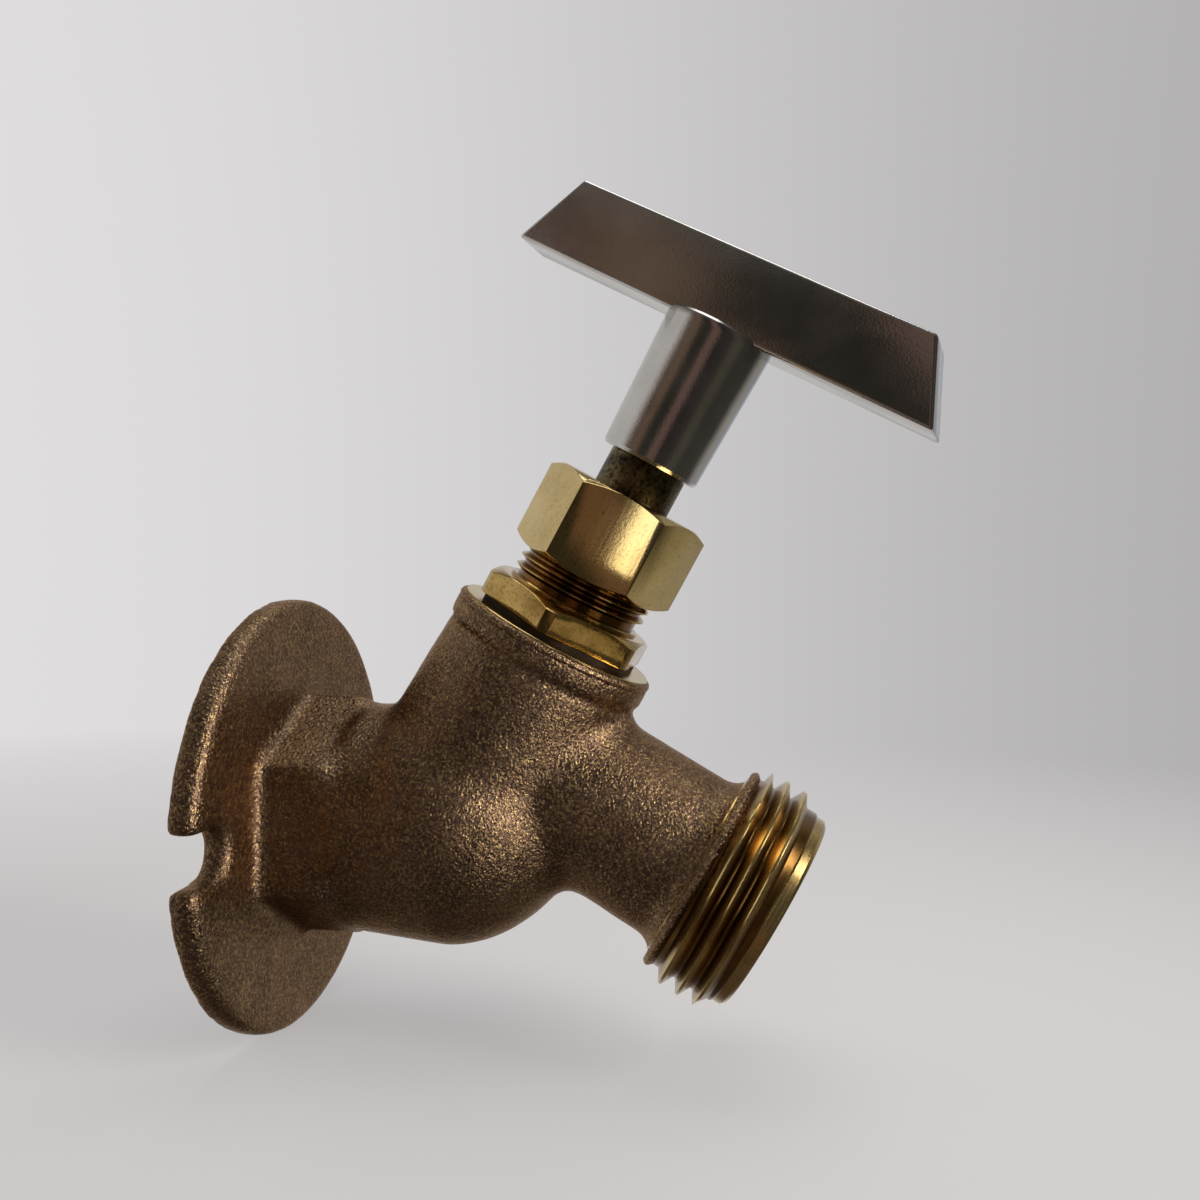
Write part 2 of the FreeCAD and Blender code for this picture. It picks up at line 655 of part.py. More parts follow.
def make_stem():
    body = stem_body("stem")
    button_at = seat_at + disc_thick + holder_floor + button_gap
    neck_at = button_at + button_thick
    waist_at = neck_at + holder_roof + 3 * button_gap
    turned(body, "Revolution", "turning", [
        (0, button_at),
        (button_radius, button_at),
        (button_radius, neck_at),
        (button_neck, neck_at),
        (button_neck, waist_at),
        (stem_screw_root, waist_at),
        (stem_screw_root, stem_screw_at + stem_screw_length),
        (stem_radius, stem_screw_at + stem_screw_length + land_cone),
        (stem_radius, shoulder_at),
        (0, shoulder_at),
    ])
    helix(body, "stem_screw", stem_screw_crest, stem_screw_root, stem_screw_flat, stem_screw_pitch,
          stem_screw_at + stem_screw_pitch / 2, stem_screw_length - stem_screw_pitch)
    outline = new_sketch(body, "square_outline", "XY_Plane", (0, 0, shoulder_at), (0, 0, -1), key_turn)
    draw(outline, polygon(square_flats, 4, 45))
    pad(body, "square", outline, square_height)
    top_at = shoulder_at + square_height
    square_corner = square_flats / 2 * math.sqrt(2)
    turned(body, "Groove", "square_bevel_cut", [
        (square_corner - square_bevel, top_at),
        (square_corner + overcut, top_at - square_bevel - overcut),
        (square_corner + overcut, top_at + overcut),
        (square_corner - square_bevel, top_at + overcut),
    ])
    return body


def make_disc_holder():
    body = stem_body("disc_holder")
    floor_at = seat_at + disc_thick
    slot_at = floor_at + holder_floor
    roof_at = slot_at + button_thick + 2 * button_gap
    turned(body, "Revolution", "turning", [
        (0, floor_at),
        (disc_radius + lip_gap, floor_at),
        (disc_radius + lip_gap, floor_at - holder_lip),
        (holder_radius, floor_at - holder_lip),
        (holder_radius, roof_at + holder_roof),
        (0, roof_at + holder_roof),
    ])
    turned(body, "Groove", "screw_hole", [
        (0, floor_at - overcut),
        (disc_screw_radius + screw_gap, floor_at - overcut),
        (disc_screw_radius + screw_gap, floor_at + disc_screw_grip + button_gap),
        (0, floor_at + disc_screw_grip + button_gap),
    ])
    for name, radius, low, high in (
        ("button_slot", button_radius + button_gap, slot_at, roof_at),
        ("neck_slot", button_neck + button_gap, roof_at - button_gap, roof_at + holder_roof + overcut),
    ):
        outline = new_sketch(body, name + "_outline", "XY_Plane", (0, 0, low))
        draw(outline, [
            (-1 * radius, 0, radius, "left"),
            (0, -1 * radius, radius, "left"),
            (radius, 0),
            (radius, holder_radius + overcut),
            (-1 * radius, holder_radius + overcut),
        ])
        pocket(body, name, outline, high - low, reverse=True)
    return body


def make_seat_disc():
    return make_ring("seat_disc", disc_screw_radius + screw_gap, disc_radius, seat_at, disc_thick)


def make_disc_screw():
    body = stem_body("disc_screw")
    turned(body, "Revolution", "turning", [
        (0, seat_at - disc_head_thick),
        (disc_head_radius - driver_slot / 2, seat_at - disc_head_thick),
        (disc_head_radius, seat_at - disc_head_thick + driver_slot / 2),
        (disc_head_radius, seat_at),
        (disc_screw_radius, seat_at),
        (disc_screw_radius, seat_at + disc_thick + disc_screw_grip),
        (0, seat_at + disc_thick + disc_screw_grip),
    ])
    outline = new_sketch(body, "slot_outline", "XY_Plane", (0, 0, seat_at - disc_head_thick))
    reach = disc_head_radius + overcut
    half = driver_slot / 2
    draw(outline, [(-1 * reach, -1 * half), (reach, -1 * half), (reach, half), (-1 * reach, half)])
    pocket(body, "slot", outline, driver_slot, reverse=True)
    return body


def make_tee_handle():
    body = stem_body("tee_handle")
    foot_at = shoulder_at + key_seat_gap
    bar_at = foot_at + hub_height
    outline = new_sketch(body, "bar_outline", "XZ_Plane", (0, 0, 0), (0, -1, 0), key_turn)
    draw(outline, [
        (-1 * bar_long_half, bar_at),
        (bar_long_half, bar_at),
        (bar_short_half, bar_at + bar_height),
        (-1 * bar_short_half, bar_at + bar_height),
    ])
    pad(body, "bar", outline, bar_thick, midplane=True)
    fillet(body, "bar_rounding", lambda edge: True, bar_round)
    turned(body, "Revolution", "hub", [
        (0, foot_at),
        (hub_foot_radius - hub_bevel, foot_at),
        (hub_foot_radius, foot_at + hub_bevel),
        (hub_top_radius, bar_at, hub_crown, "left"),
        (hub_top_radius - hub_crown, bar_at + hub_crown),
        (0, bar_at + hub_crown),
    ])
    socket = new_sketch(body, "socket_outline", "XY_Plane", (0, 0, foot_at), (0, 0, -1), key_turn)
    draw(socket, polygon(square_flats + 2 * key_play, 4, 45))
    pocket(body, "socket", socket, square_height - key_seat_gap + socket_spare, reverse=True)
    return body


gasket_inner = bonnet_thread_radius + screw_gap
gasket_outer = bearing_radius + gasket_margin
packing_at = bonnet_top_at + washer_thick
nut_bore = gland_crest + screw_gap
packing_outer = nut_bore - packing_play
packing_inner = stem_radius + running_gap
gland_at = packing_at + 2 * packing_thick
gland_room = nut_at + nut_height - nut_top_wall - gland_at

make_valve_body()
make_ring("bonnet_gasket", gasket_inner, gasket_outer, rim_at, gasket_thick)
make_bonnet()
make_packing_nut()
make_ring("packing_washer", packing_inner, packing_outer, bonnet_top_at, washer_thick)
make_ring("lower_packing_ring", packing_inner, packing_outer, packing_at, packing_thick)
make_ring("upper_packing_ring", packing_inner, packing_outer, packing_at + packing_thick, packing_thick)
make_ring("packing_gland", packing_inner, packing_outer, gland_at, gland_room)
make_stem()
make_disc_holder()
make_seat_disc()
make_disc_screw()
make_tee_handle()

doc.recompute()
pieces = [item for item in doc.Objects if item.TypeId == "PartDesign::Body"]
for item in doc.Objects:
    if "Invalid" in item.State or "Error" in item.State:
        raise RuntimeError("the document could not make " + item.Name)
for piece in pieces:
    if piece.Shape.isNull() or not piece.Shape.isValid():
        raise RuntimeError(piece.Label + " has no valid shape")
    if len(piece.Shape.Solids) != 1:
        raise RuntimeError(piece.Label + " is not one solid")

os.makedirs("parts", exist_ok=True)
for piece in pieces:
    piece.Shape.exportStep(os.path.join("parts", piece.Label + ".step"))
    print(piece.Label, round(piece.Shape.Volume, 2), "cubic millimetres")
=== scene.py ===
import math
import bmesh
import bpy
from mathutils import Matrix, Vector


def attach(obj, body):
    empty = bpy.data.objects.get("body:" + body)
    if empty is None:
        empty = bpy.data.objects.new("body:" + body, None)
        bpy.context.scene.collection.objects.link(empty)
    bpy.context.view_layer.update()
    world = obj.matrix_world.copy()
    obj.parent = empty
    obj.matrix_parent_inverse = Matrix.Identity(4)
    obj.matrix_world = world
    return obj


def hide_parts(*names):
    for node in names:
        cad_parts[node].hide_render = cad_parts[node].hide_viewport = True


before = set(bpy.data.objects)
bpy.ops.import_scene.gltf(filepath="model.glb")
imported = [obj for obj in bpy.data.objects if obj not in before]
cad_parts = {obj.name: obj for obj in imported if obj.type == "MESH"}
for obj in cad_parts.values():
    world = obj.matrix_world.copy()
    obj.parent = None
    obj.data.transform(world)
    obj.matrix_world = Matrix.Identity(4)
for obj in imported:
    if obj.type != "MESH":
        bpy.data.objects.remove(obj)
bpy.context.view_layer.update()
print("frame loaded,", len(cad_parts), "nodes")

mm = 0.001
spare = 1   # how far a block reaches past the cut that trims it, in millimetres
closeness = {"merge": 0.000002, "same": 0.00001}   # in metres

# Where the two slanting axes lie, in millimetres and degrees
layout = {
    "stemFoot": 22.94,      # along the inlet, from the wall
    "stemLean": 28,         # from upright, towards the outlet
    "outletAt": 10.9,       # up the stem axis
    "outletFall": 29.2,     # below level
    "floorHeight": -26.1,
}
lean = math.radians(layout["stemLean"])
fall = math.radians(90 + layout["outletFall"])
stemFoot = Vector((layout["stemFoot"] * mm, 0, 0))
stemWay = Vector((math.sin(lean), 0, math.cos(lean)))
outletFoot = stemFoot + stemWay * layout["outletAt"] * mm
outletWay = Vector((math.sin(fall), 0, math.cos(fall)))


def clearSelection():
    if bpy.context.object and bpy.context.object.mode != "OBJECT":
        bpy.ops.object.mode_set(mode="OBJECT")
    bpy.ops.object.select_all(action="DESELECT")


def pick(piece):
    clearSelection()
    piece.select_set(True)
    bpy.context.view_layer.objects.active = piece


def settle(piece):
    # Puts the object's place, turn and size into its mesh
    pick(piece)
    bpy.ops.object.transform_apply(location=True, rotation=True, scale=True)


def applyModifier(piece, modifier):
    pick(piece)
    bpy.ops.object.modifier_apply(modifier=modifier.name)


def closeMesh(piece):
    # Merges doubles, closes open ends and turns the faces outwards
    pick(piece)
    bpy.ops.object.mode_set(mode="EDIT")
    bpy.ops.mesh.select_all(action="SELECT")
    bpy.ops.mesh.remove_doubles(threshold=closeness["merge"])
    bpy.ops.mesh.fill_holes(sides=0)
    bpy.ops.mesh.select_all(action="SELECT")
    bpy.ops.mesh.normals_make_consistent(inside=False)
    bpy.ops.object.mode_set(mode="OBJECT")


def turnRound(name, rings, sides=128):
    # Turned work: a circle is pulled out and resized, ring by ring. Rings are (radius, height) in millimetres.
    clearSelection()
    radius, height = rings[0]
    bpy.ops.mesh.primitive_circle_add(vertices=sides, radius=radius * mm, location=(0, 0, height * mm))
    piece = bpy.context.object
    piece.name = name
    settle(piece)
    bpy.ops.object.mode_set(mode="EDIT")
    bpy.ops.mesh.select_all(action="SELECT")
    for nextRadius, nextHeight in rings[1:]:
        rise = (nextHeight - height) * mm
        bpy.ops.mesh.extrude_region_move(TRANSFORM_OT_translate={"value": (0, 0, rise)})
        share = nextRadius / radius
        if share != 1:
            bpy.ops.transform.resize(value=(share, share, 1), center_override=(0, 0, nextHeight * mm))
        radius, height = nextRadius, nextHeight
    closeMesh(piece)
    return piece


halfSide = 30   # degrees from a hexagon's corner to the middle of its side


def overCorners(flats):
    # A hexagon's radius at its corners
    return flats / 2 / math.cos(math.radians(halfSide))


def hexagonBlock(name, flats, low, high, turn):
    clearSelection()
    bpy.ops.mesh.primitive_cylinder_add(
        vertices=6, radius=overCorners(flats) * mm, depth=(high - low) * mm,
        location=(0, 0, (low + high) / 2 * mm), rotation=(0, 0, math.radians(turn - halfSide)))
    piece = bpy.context.object
    piece.name = name
    settle(piece)
    return piece


runOut = {"overTurns": 0.16, "least": 0.08}   # a thread's ends fade over this part of a turn, to this height


def woundRidge(name, crest, root, crestWidth, rootWidth, pitch, start, turns, begin=0, steps=96):
    # A screw thread: one ridge's outline, wound up the axis. Its foot is sunk into the core.
    clearSelection()
    bpy.ops.mesh.primitive_plane_add(
        size=1, location=((crest + root) / 2 * mm, 0, start * mm), rotation=(math.radians(90), 0, 0))
    piece = bpy.context.object
    piece.name = name
    piece.scale = ((crest - root) * mm, rootWidth * mm, 1)
    settle(piece)
    bpy.ops.object.mode_set(mode="EDIT")
    mesh = bmesh.from_edit_mesh(piece.data)
    bpy.ops.mesh.select_all(action="DESELECT")
    for vertex in mesh.verts:
        vertex.select = abs(vertex.co.x - crest * mm) < closeness["same"]
    bmesh.update_edit_mesh(piece.data)
    bpy.ops.transform.resize(value=(1, 1, crestWidth / rootWidth), center_override=(crest * mm, 0, start * mm))
    bpy.ops.mesh.select_all(action="SELECT")
    bpy.ops.mesh.delete(type="ONLY_FACE")
    bpy.ops.object.mode_set(mode="OBJECT")
    winding = piece.modifiers.new("winding", "SCREW")
    winding.axis = "Z"
    winding.angle = math.radians(360) * turns
    winding.screw_offset = pitch * turns * mm
    winding.iterations = 1
    winding.steps = round(steps * turns)
    winding.render_steps = winding.steps
    applyModifier(piece, winding)
    for vertex in piece.data.vertices:   # both ends run out into the core
        radius = math.hypot(vertex.co.x, vertex.co.y) / mm
        if abs(radius - crest) < abs(radius - root):
            wound = (vertex.co.z / mm - start) / pitch
            ease = min(1, max(runOut["least"], min(wound, turns - wound) / runOut["overTurns"]))
            share = (root + (crest - root) * ease) / radius
            vertex.co.x *= share
            vertex.co.y *= share
    closeMesh(piece)
    piece.rotation_euler = (0, 0, math.radians(begin))
    settle(piece)
    return piece


def carve(piece, tool, way):
    # Cuts away, joins on or keeps what both share, and throws the tool away
    cut = piece.modifiers.new("cut", "BOOLEAN")
    cut.operation = way
    cut.solver = "EXACT"
    cut.object = tool
    applyModifier(piece, cut)
    bpy.data.objects.remove(tool, do_unlink=True)


def softenEdges(piece, width, angle=25, segments=2):
    rounding = piece.modifiers.new("rounding", "BEVEL")
    rounding.width = width * mm
    rounding.segments = segments
    rounding.limit_method = "ANGLE"
    rounding.angle_limit = math.radians(angle)
    applyModifier(piece, rounding)


def smoothShade(piece, angle=30):
    pick(piece)
    bpy.ops.object.shade_smooth_by_angle(angle=math.radians(angle))


def stand(piece, foot, angle):
    # Leans an upright piece over onto its own axis
    piece.rotation_euler = (0, angle, 0)
    piece.location = foot
    settle(piece)


def finishPiece(piece, body, slotName, material, *standsFor):
    piece.data.materials.clear()
    piece.data.materials.append(material)
    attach(piece, body)
    if standsFor:
        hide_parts(*standsFor)
    print("made", piece.name, len(piece.data.polygons), "faces")


black = (0, 0, 0)
white = (1, 1, 1)


def newMaterial(name):
    material = bpy.data.materials.new(name)
    material.use_nodes = True
    shader = material.node_tree.nodes["Principled BSDF"]
    return material, shader


def addNode(owner, kind, **settings):
    # The owner is a material or the world
    node = owner.node_tree.nodes.new(kind)
    for key, value in settings.items():
        setattr(node, key, value)
    return node


def link(owner, source, target):
    owner.node_tree.links.new(source, target)


def ownAxis(material, foot=(0, 0, 0), angle=0):
    # Object coordinates, read along the piece's own axis
    coords = addNode(material, "ShaderNodeTexCoord")
    place = addNode(material, "ShaderNodeMapping", vector_type="TEXTURE")
    place.inputs["Location"].default_value = foot
    place.inputs["Rotation"].default_value = (0, angle, 0)
    link(material, coords.outputs["Object"], place.inputs["Vector"])
    return place.outputs["Vector"]


def noiseOf(material, vector, grain, detail, rough):
    # Noise with grains of the given size in millimetres, one for each direction
    sizes = grain if isinstance(grain, tuple) else (grain, grain, grain)
    stretch = addNode(material, "ShaderNodeMapping", vector_type="TEXTURE")
    stretch.inputs["Scale"].default_value = [size * mm for size in sizes]
    link(material, vector, stretch.inputs["Vector"])
    noise = addNode(material, "ShaderNodeTexNoise")
    noise.inputs["Scale"].default_value = 1
    noise.inputs["Detail"].default_value = detail
    noise.inputs["Roughness"].default_value = rough
    link(material, stretch.outputs["Vector"], noise.inputs["Vector"])
    return noise.outputs["Fac"]


def rampOf(owner, factor, stops):
    ramp = addNode(owner, "ShaderNodeValToRGB")
    elements = ramp.color_ramp.elements
    while len(elements) < len(stops):
        elements.new(0.5)
    for element, (position, colour) in zip(elements, stops):
        element.position = position
        element.color = (*colour, 1)
    link(owner, factor, ramp.inputs["Fac"])
    return ramp.outputs["Color"]


def shadesOf(owner, factor, low, high, fromLow=0.3, fromHigh=0.7):
    # From one colour to another, over this reach of the factor
    return rampOf(owner, factor, [(fromLow, low), (fromHigh, high)])


def rangeOf(owner, factor, low, high, fromLow=0.3, fromHigh=0.7, course="LINEAR"):
    spread = addNode(owner, "ShaderNodeMapRange", interpolation_type=course)
    spread.inputs["From Min"].default_value = fromLow
    spread.inputs["From Max"].default_value = fromHigh
    spread.inputs["To Min"].default_value = low
    spread.inputs["To Max"].default_value = high
    link(owner, factor, spread.inputs["Value"])
    return spread.outputs["Result"]


def mixOf(owner, factor, first, second, way="MIX"):
    mix = addNode(owner, "ShaderNodeMix", data_type="RGBA", blend_type=way)
    if isinstance(factor, float):
        mix.inputs["Factor"].default_value = factor
    else:
        link(owner, factor, mix.inputs["Factor"])
    for socket, value in ((mix.inputs["A"], first), (mix.inputs["B"], second)):
        if isinstance(value, tuple):
            socket.default_value = (*value, 1)
        else:
            link(owner, value, socket)
    return mix.outputs["Result"]


def bumpOf(material, height, depth, under=None):
    bump = addNode(material, "ShaderNodeBump")
    bump.inputs["Strength"].default_value = 1
    bump.inputs["Distance"].default_value = depth * mm
    link(material, height, bump.inputs["Height"])
    if under:
        link(material, under, bump.inputs["Normal"])
    return bump.outputs["Normal"]


def roundTheAxis(material, vector):
    # Radius and height in place of x, y and z, so that a pattern runs round the piece
    parts = addNode(material, "ShaderNodeSeparateXYZ")
    link(material, vector, parts.inputs["Vector"])
    flat = addNode(material, "ShaderNodeCombineXYZ")
    link(material, parts.outputs["X"], flat.inputs["X"])
    link(material, parts.outputs["Y"], flat.inputs["Y"])
    radius = addNode(material, "ShaderNodeVectorMath", operation="LENGTH")
    link(material, flat.outputs["Vector"], radius.inputs[0])
    turned = addNode(material, "ShaderNodeCombineXYZ")
    link(material, radius.outputs["Value"], turned.inputs["X"])
    link(material, parts.outputs["Z"], turned.inputs["Z"])
    return turned.outputs["Vector"]


def castBronze(look):
    # Sand-cast bronze: brown skin, worn golden on the grains' tops
    material, shader = newMaterial("castBronze")
    here = ownAxis(material)
    patches = noiseOf(material, here, look["patch"], detail=4, rough=0.6)
    grains = noiseOf(material, here, look["grain"], detail=2, rough=0.5)
    pits = noiseOf(material, here, look["pit"], detail=3, rough=0.6)
    skin = shadesOf(material, patches, look["dark"], look["brown"], fromLow=0.35, fromHigh=0.65)
    tops = shadesOf(material, grains, black, white, look["wornFrom"], look["wornTo"])
    colour = mixOf(material, tops, skin, look["gold"])
    link(material, colour, shader.inputs["Base Color"])
    link(material, rangeOf(material, pits, look["roughLow"], look["roughHigh"]), shader.inputs["Roughness"])
    coarse = bumpOf(material, pits, look["pitDepth"])
    fine = bumpOf(material, grains, look["grainDepth"], coarse)
    link(material, fine, shader.inputs["Normal"])
    shader.inputs["Metallic"].default_value = look["metallic"]
    shader.inputs["Specular Tint"].default_value = (*look["edge"], 1)
    return material


def workedBrass(name, look, foot, angle, way):
    # Bright brass with tool marks: way "round" runs them round the axis, "along" draws them up it
    material, shader = newMaterial(name)
    here = ownAxis(material, foot, angle)
    if way == "round":
        lines = noiseOf(material, roundTheAxis(material, here), look["line"], detail=3, rough=0.6)
    else:
        strokes = (look["line"], look["line"], look["line"] * look["drawnOut"])
        lines = noiseOf(material, here, strokes, detail=3, rough=0.6)
    patches = noiseOf(material, here, look["patch"], detail=3, rough=0.5)
    specks = noiseOf(material, here, look["speck"], detail=2, rough=0.5)
    base = shadesOf(material, patches, look["dark"], look["light"])
    dirt = shadesOf(material, specks, look["dirt"], white, look["dirtFrom"], look["dirtTo"])
    colour = mixOf(material, look["dirtShare"], base, dirt, "MULTIPLY")
    if "grooveTone" in look:
        # Darker in the thread's groove, between these radii in millimetres, and back to the plain colour at the crest
        grooveFrom, grooveTo, crest = look["grooves"]
        radius = addNode(material, "ShaderNodeSeparateXYZ")
        link(material, roundTheAxis(material, here), radius.inputs["Vector"])
        depth = rangeOf(material, radius.outputs["X"], 0, 1, grooveFrom * mm, crest * mm)
        middle = (grooveTo - grooveFrom) / (crest - grooveFrom)
        grooveDarkening = rampOf(material, depth, [
            (0.01, white), (0.06, look["grooveTone"]), (middle, look["grooveTone"]), (1, white)])
        colour = mixOf(material, 1.0, colour, grooveDarkening, "MULTIPLY")
    link(material, colour, shader.inputs["Base Color"])
    link(material, rangeOf(material, lines, look["roughLow"], look["roughHigh"]), shader.inputs["Roughness"])
    marks = bumpOf(material, lines, look["lineDepth"])
    dents = bumpOf(material, specks, look["speckDepth"], marks)
    link(material, dents, shader.inputs["Normal"])
    shader.inputs["Metallic"].default_value = 1
    return material


def platedChrome(look, foot, angle):
    # Chrome over a zinc casting: faint orange peel, pin holes and dull spots
    material, shader = newMaterial("chromePlate")
    here = ownAxis(material, foot, angle)
    peel = noiseOf(material, here, look["peel"], detail=2, rough=0.5)
    pits = noiseOf(material, here, look["pit"], detail=2, rough=0.4)
    haze = noiseOf(material, here, look["haze"], detail=4, rough=0.6)
    spots = shadesOf(material, pits, look["pitColour"], white, look["pitFrom"], look["pitTo"])
    base = shadesOf(material, haze, look["dark"], look["light"], fromLow=0.35, fromHigh=0.65)
    link(material, mixOf(material, 1.0, base, spots, "MULTIPLY"), shader.inputs["Base Color"])
    link(material, rangeOf(material, haze, look["roughLow"], look["roughHigh"]), shader.inputs["Roughness"])
    skin = bumpOf(material, peel, look["peelDepth"])
    holes = bumpOf(material, pits, look["pitDepth"], skin)
    link(material, holes, shader.inputs["Normal"])
    shader.inputs["Metallic"].default_value = 1
    return material


def softMatter(name, look, foot, angle):
    # Rubber, fibre and packing cord: matt, grained and a little uneven in colour
    material, shader = newMaterial(name)
    here = ownAxis(material, foot, angle)
    grains = noiseOf(material, here, look["grain"], detail=4, rough=0.6)
    patches = noiseOf(material, here, look["patch"], detail=2, rough=0.5)
    colour = shadesOf(material, patches, look["dark"], look["light"])
    link(material, colour, shader.inputs["Base Color"])
    link(material, rangeOf(material, grains, look["roughLow"], look["roughHigh"]), shader.inputs["Roughness"])
    link(material, bumpOf(material, grains, look["grainDepth"]), shader.inputs["Normal"])
    shader.inputs["Specular IOR Level"].default_value = look.get("shine", 0.5)
    return material


# Colours are linear. Grain, speck, patch and line sizes and all depths are in millimetres.
bronzeLook = {
    "dark": (0.094, 0.058, 0.045), "brown": (0.172, 0.106, 0.076), "gold": (0.50, 0.355, 0.165),
    "edge": (0.78, 0.62, 0.50),
    "patch": 5, "grain": 0.27, "pit": 0.7, "grainDepth": 0.15, "pitDepth": 0.16,
    "wornFrom": 0.46, "wornTo": 0.74, "roughLow": 0.20, "roughHigh": 0.33, "metallic": 0.95,
}
bronze = castBronze(bronzeLook)

drawnLook = {
    "dark": (0.50, 0.36, 0.13), "light": (0.66, 0.50, 0.22), "dirt": (0.45, 0.32, 0.15),
    "line": 0.18, "drawnOut": 60, "patch": 6, "speck": 0.35, "dirtFrom": 0.28, "dirtTo": 0.42, "dirtShare": 0.6,
    "lineDepth": 0.001, "speckDepth": 0.003, "roughLow": 0.08, "roughHigh": 0.14,
}
drawnBrass = workedBrass("drawnBrass", drawnLook, stemFoot, lean, "along")
hexagonLook = dict(
    drawnLook, dark=(0.36, 0.23, 0.065), light=(0.60, 0.41, 0.15), patch=3, dirtTo=0.5, speckDepth=0.010,
    grooveTone=(0.40, 0.28, 0.18), grooves=(7.3, 7.75, 8.25))
hexagonBrass = workedBrass("hexagonBrass", hexagonLook, stemFoot, lean, "along")
turnedLook = dict(
    drawnLook, line=0.12, lineDepth=0.002, roughLow=0.14, roughHigh=0.24,
    dark=(0.46, 0.32, 0.12), light=(0.64, 0.48, 0.21))
turnedBrass = workedBrass("turnedBrass", turnedLook, stemFoot, lean, "round")
outletLook = dict(
    turnedLook, roughLow=0.17, roughHigh=0.28, grooveTone=(0.36, 0.27, 0.20), grooves=(11.85, 12.5, 13.4))
outletBrass = workedBrass("outletBrass", outletLook, outletFoot, fall, "round")
inletBrass = workedBrass("inletBrass", turnedLook, (0, 0, 0), math.radians(90), "round")

stemLook = {
    "dark": (0.035, 0.025, 0.017), "light": (0.30, 0.235, 0.12), "dirt": (0.2, 0.16, 0.12),
    "line": 0.15, "patch": 3.2, "speck": 0.45, "dirtFrom": 0.36, "dirtTo": 0.55, "dirtShare": 0.9,
    "lineDepth": 0.01, "speckDepth": 0.02, "roughLow": 0.3, "roughHigh": 0.5,
}
stemBrass = workedBrass("stemBrass", stemLook, stemFoot, lean, "round")

chromeLook = {
    "dark": (0.46, 0.44, 0.42), "light": (0.58, 0.56, 0.54), "pitColour": (0.75, 0.70, 0.58),
    "peel": 0.35, "pit": 0.25, "haze": 9, "pitFrom": 0.24, "pitTo": 0.34,
    "peelDepth": 0.007, "pitDepth": 0.010, "roughLow": 0.10, "roughHigh": 0.20,
}
chrome = platedChrome(chromeLook, stemFoot, lean)

rubberLook = {
    "dark": (0.012, 0.012, 0.012), "light": (0.03, 0.03, 0.03), "grain": 0.15, "patch": 2,
    "grainDepth": 0.01, "roughLow": 0.5, "roughHigh": 0.75,
}
rubber = softMatter("seatRubber", rubberLook, stemFoot, lean)

packingLook = {
    "dark": (0.09, 0.085, 0.08), "light": (0.22, 0.21, 0.20), "grain": 0.25, "patch": 1,
    "grainDepth": 0.06, "roughLow": 0.7, "roughHigh": 0.95,
}
packing = softMatter("packingCord", packingLook, stemFoot, lean)

# The gasket's fibre is coloured near black so that it reads as the shadow line under the bonnet's hexagon: painted
# shade
fibreShadowLineLook = {
    "dark": (0.018, 0.011, 0.007), "light": (0.04, 0.025, 0.015), "grain": 0.2, "patch": 1.5, "shine": 0.15,
    "grainDepth": 0.03, "roughLow": 0.6, "roughHigh": 0.85,
}
fibre = softMatter("fibreSheetPaintedShade", fibreShadowLineLook, stemFoot, lean)
print("materials ready")


# Sizes of pieces are in millimetres, and their turns in degrees
castingSizes = {
    "rimCut": 25.0,        # the collar's edge sits above this
    "hoseCut": 27.62,      # the hose end sits past this
    "grid": 0.46,          # fineness of the cast skin
    "meltShare": 0.5,      # how far one round of smoothing goes
    "skinMelt": 4,         # rounds all over
    "waveSize": 3.2, "waveDepth": 0.10, "waveDetail": 2,
    "grooveFoot": 21.65, "grooveTop": 22.45, "grooveRadius": 11.75,   # the sharp line under the collar
    "grooveOut": 14, "grooveSlope": 1,
    # How softly the outlet grows out of the globe
    "rootAt": 14.5, "rootReach": 7, "rootFade": 2, "rootGap": 2, "rootMelt": 90,
    "bossEnd": 19, "bossMelt": 16,   # how worn the flange and hexagon are
}


